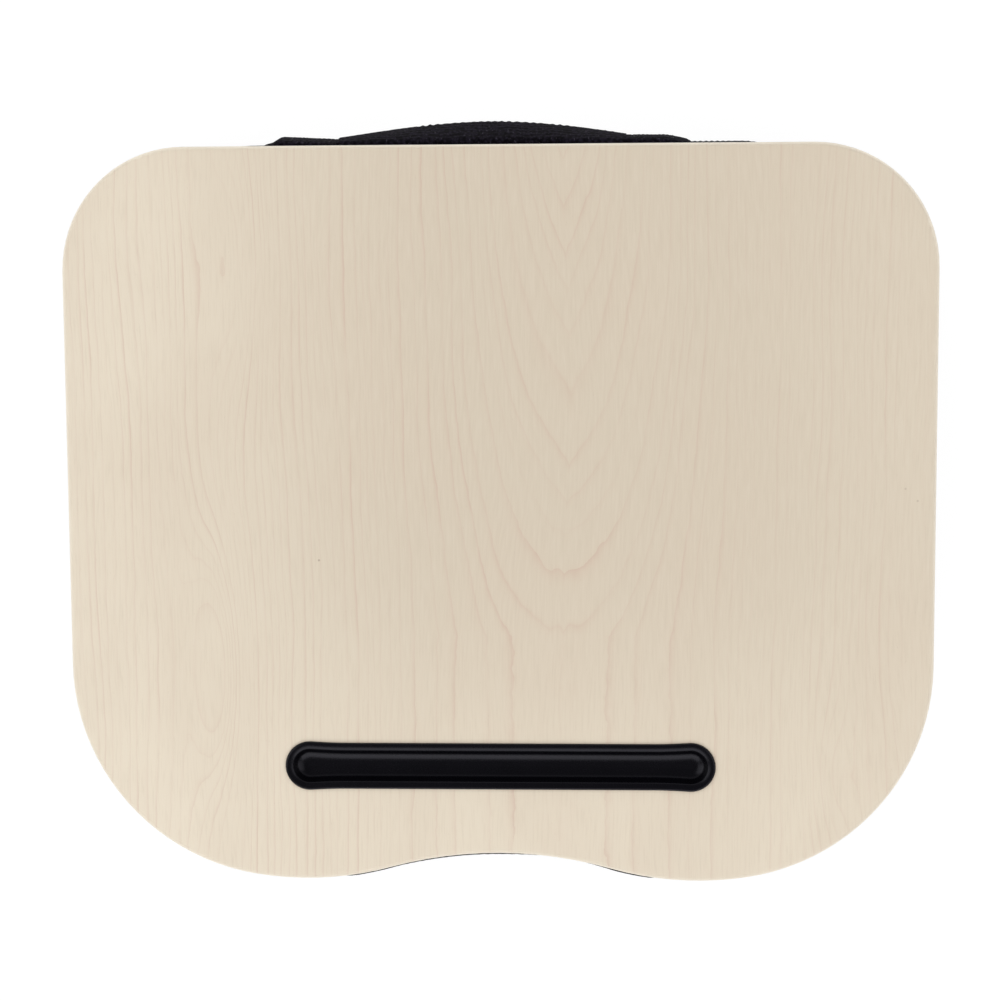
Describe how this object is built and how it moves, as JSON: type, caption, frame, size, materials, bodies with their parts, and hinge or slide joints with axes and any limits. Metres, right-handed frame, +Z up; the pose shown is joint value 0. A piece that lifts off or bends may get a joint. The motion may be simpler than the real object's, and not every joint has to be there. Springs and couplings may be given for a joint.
{
  "type": "cushioned lap desk",
  "caption": "Lap desk: wood-grain board with a waisted front edge and a black pen trough on a black bead cushion with a carry handle.",
  "frame": {"origin": "centre of the cushion's flat base, on the surface that it stands on", "axes": "+X to the user's right along the board's width, +Y to the back edge with the handle, +Z up"},
  "size_m": [0.383, 0.3377, 0.0674],
  "materials": {
    "wood_grain": "satin",
    "fibreboard": "matt",
    "backing": "matt",
    "trough_plastic": "gloss",
    "hook_tape": "matt",
    "loop_tape": "matt",
    "cover_fabric": "matt",
    "piping_fabric": "matt",
    "lining": "matt",
    "beads": "matt",
    "zip_tape": "matt",
    "zip_coil": "satin",
    "zip_metal": "satin",
    "strap_knit": "matt",
    "webbing": "matt"
  },
  "bodies": {
    "lap_desk": {"wood_grain_film": "wood_grain", "board_core": "fibreboard", "backing_film": "backing", "pen_trough": "trough_plastic", "hook_strips": "hook_tape", "loop_strips": "loop_tape", "cushion_top_panel": "cover_fabric", "cushion_wall": "cover_fabric", "cushion_base_panel": "cover_fabric", "upper_piping": "piping_fabric", "lower_piping": "piping_fabric", "inner_bag": "lining", "bead_fill": "beads", "upper_zip_tape": "zip_tape", "lower_zip_tape": "zip_tape", "upper_zip_coil": "zip_coil", "lower_zip_coil": "zip_coil", "left_zip_stop": "zip_metal", "right_zip_stop": "zip_metal", "left_handle_tab": "strap_knit", "right_handle_tab": "strap_knit"},
    "slider": {"zip_slider": "zip_metal"},
    "puller": {"zip_puller": "zip_metal"},
    "handle": {"handle_cover": "strap_knit", "handle_webbing": "webbing"}
  },
  "joints": [
    {"name": "zip_slide", "type": "slide", "parent": "lap_desk", "child": "slider", "axis": [-1, 0, 0], "range_m": [0, 0.213]},
    {"name": "puller_flip", "type": "hinge", "parent": "slider", "child": "puller", "pos_m": [0.1067, 0.16269, 0.01786], "axis": [0, -0.2041, -0.9789], "range_deg": [0, 178]},
    {"name": "handle_swing", "type": "hinge", "parent": "lap_desk", "child": "handle", "pos_m": [-0.0072, 0.1622, 0.051], "axis": [1, 0, 0], "range_deg": [0, 60]}
  ]
}
